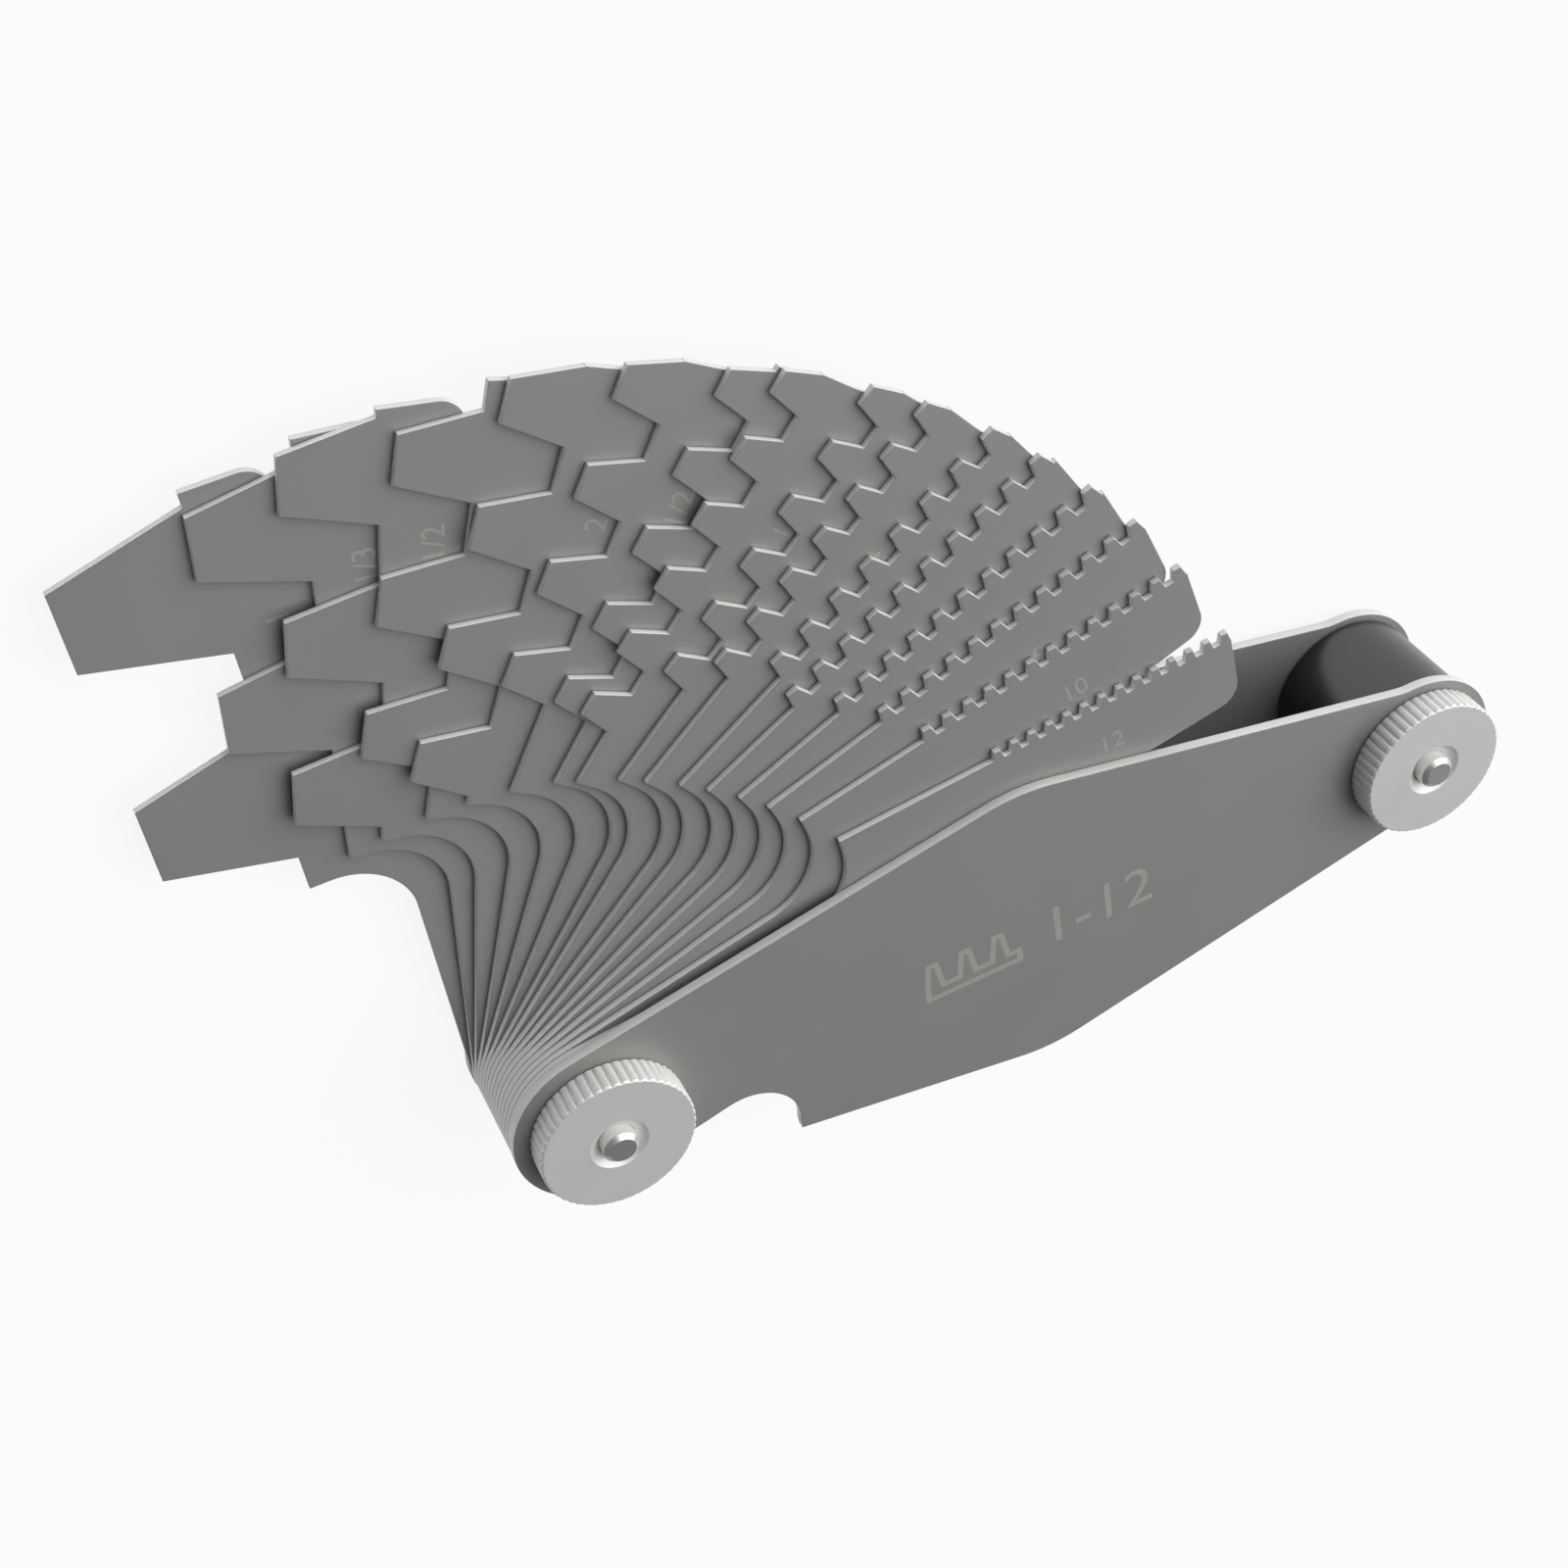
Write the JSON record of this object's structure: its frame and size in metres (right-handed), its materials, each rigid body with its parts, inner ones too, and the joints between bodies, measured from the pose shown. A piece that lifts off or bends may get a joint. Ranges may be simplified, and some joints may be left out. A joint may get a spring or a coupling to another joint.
{
  "type": "thread pitch gauge",
  "caption": "Fan of pivoting trapezoidal-thread leaves between two cover plates with thumb nuts, for matching a screw's pitch by eye.",
  "frame": {"origin": "on the leaf pivot's axis, in the plane of the screw heads' undersides that the gauge lies on", "axes": "+Z from the back cover to the thumb nuts, +X from the leaf pivot to the spacer, +Y towards the side where the leaves fan out"},
  "size_m": [0.1425, 0.1026, 0.0217],
  "materials": {
    "cover_steel": "satin",
    "leaf_steel": "satin",
    "nut_steel": "satin",
    "screw_steel": "satin",
    "roller_black": "satin"
  },
  "bodies": {
    "case": {"back_cover": "cover_steel", "front_cover": "cover_steel", "pivot_screw": "screw_steel", "spacer_screw": "screw_steel", "spacer_roller": "roller_black"},
    "leaf_12_tpi": {"leaf_12_tpi": "leaf_steel"},
    "leaf_10_tpi": {"leaf_10_tpi": "leaf_steel"},
    "leaf_9_tpi": {"leaf_9_tpi": "leaf_steel"},
    "leaf_8_tpi": {"leaf_8_tpi": "leaf_steel"},
    "leaf_7_tpi": {"leaf_7_tpi": "leaf_steel"},
    "leaf_6_tpi": {"leaf_6_tpi": "leaf_steel"},
    "leaf_5_tpi": {"leaf_5_tpi": "leaf_steel"},
    "leaf_4_tpi": {"leaf_4_tpi": "leaf_steel"},
    "leaf_3_half_tpi": {"leaf_3_half_tpi": "leaf_steel"},
    "leaf_3_tpi": {"leaf_3_tpi": "leaf_steel"},
    "leaf_2_half_tpi": {"leaf_2_half_tpi": "leaf_steel"},
    "leaf_2_tpi": {"leaf_2_tpi": "leaf_steel"},
    "leaf_1_three_quarter_tpi": {"leaf_1_three_quarter_tpi": "leaf_steel"},
    "leaf_1_half_tpi": {"leaf_1_half_tpi": "leaf_steel"},
    "leaf_1_third_tpi": {"leaf_1_third_tpi": "leaf_steel"},
    "leaf_1_tpi": {"leaf_1_tpi": "leaf_steel"},
    "pivot_nut": {"pivot_nut": "nut_steel"},
    "spacer_nut": {"spacer_nut": "nut_steel"}
  },
  "joints": [
    {"name": "leaf_12_tpi_swing", "type": "hinge", "parent": "case", "child": "leaf_12_tpi", "pos_m": [0, 0, 0.01558], "axis": [0, 0, 1], "continuous": true},
    {"name": "leaf_10_tpi_swing", "type": "hinge", "parent": "case", "child": "leaf_10_tpi", "pos_m": [0, 0, 0.01475], "axis": [0, 0, 1], "continuous": true},
    {"name": "leaf_9_tpi_swing", "type": "hinge", "parent": "case", "child": "leaf_9_tpi", "pos_m": [0, 0, 0.01392], "axis": [0, 0, 1], "continuous": true},
    {"name": "leaf_8_tpi_swing", "type": "hinge", "parent": "case", "child": "leaf_8_tpi", "pos_m": [0, 0, 0.01309], "axis": [0, 0, 1], "continuous": true},
    {"name": "leaf_7_tpi_swing", "type": "hinge", "parent": "case", "child": "leaf_7_tpi", "pos_m": [0, 0, 0.01226], "axis": [0, 0, 1], "continuous": true},
    {"name": "leaf_6_tpi_swing", "type": "hinge", "parent": "case", "child": "leaf_6_tpi", "pos_m": [0, 0, 0.01143], "axis": [0, 0, 1], "continuous": true},
    {"name": "leaf_5_tpi_swing", "type": "hinge", "parent": "case", "child": "leaf_5_tpi", "pos_m": [0, 0, 0.0106], "axis": [0, 0, 1], "continuous": true},
    {"name": "leaf_4_tpi_swing", "type": "hinge", "parent": "case", "child": "leaf_4_tpi", "pos_m": [0, 0, 0.00977], "axis": [0, 0, 1], "continuous": true},
    {"name": "leaf_3_half_tpi_swing", "type": "hinge", "parent": "case", "child": "leaf_3_half_tpi", "pos_m": [0, 0, 0.00894], "axis": [0, 0, 1], "continuous": true},
    {"name": "leaf_3_tpi_swing", "type": "hinge", "parent": "case", "child": "leaf_3_tpi", "pos_m": [0, 0, 0.00811], "axis": [0, 0, 1], "continuous": true},
    {"name": "leaf_2_half_tpi_swing", "type": "hinge", "parent": "case", "child": "leaf_2_half_tpi", "pos_m": [0, 0, 0.00728], "axis": [0, 0, 1], "continuous": true},
    {"name": "leaf_2_tpi_swing", "type": "hinge", "parent": "case", "child": "leaf_2_tpi", "pos_m": [0, 0, 0.00645], "axis": [0, 0, 1], "continuous": true},
    {"name": "leaf_1_three_quarter_tpi_swing", "type": "hinge", "parent": "case", "child": "leaf_1_three_quarter_tpi", "pos_m": [0, 0, 0.00562], "axis": [0, 0, 1], "continuous": true},
    {"name": "leaf_1_half_tpi_swing", "type": "hinge", "parent": "case", "child": "leaf_1_half_tpi", "pos_m": [0, 0, 0.00479], "axis": [0, 0, 1], "continuous": true},
    {"name": "leaf_1_third_tpi_swing", "type": "hinge", "parent": "case", "child": "leaf_1_third_tpi", "pos_m": [0, 0, 0.00396], "axis": [0, 0, 1], "continuous": true},
    {"name": "leaf_1_tpi_swing", "type": "hinge", "parent": "case", "child": "leaf_1_tpi", "pos_m": [0, 0, 0.00313], "axis": [0, 0, 1], "continuous": true},
    {"name": "pivot_nut_turn", "type": "hinge", "parent": "case", "child": "pivot_nut", "pos_m": [0, 0, 0.01896], "axis": [0, 0, 1], "range_deg": [0, 720]},
    {"name": "spacer_nut_turn", "type": "hinge", "parent": "case", "child": "spacer_nut", "pos_m": [0.1012, 0, 0.01896], "axis": [0, 0, 1], "range_deg": [0, 720]}
  ]
}
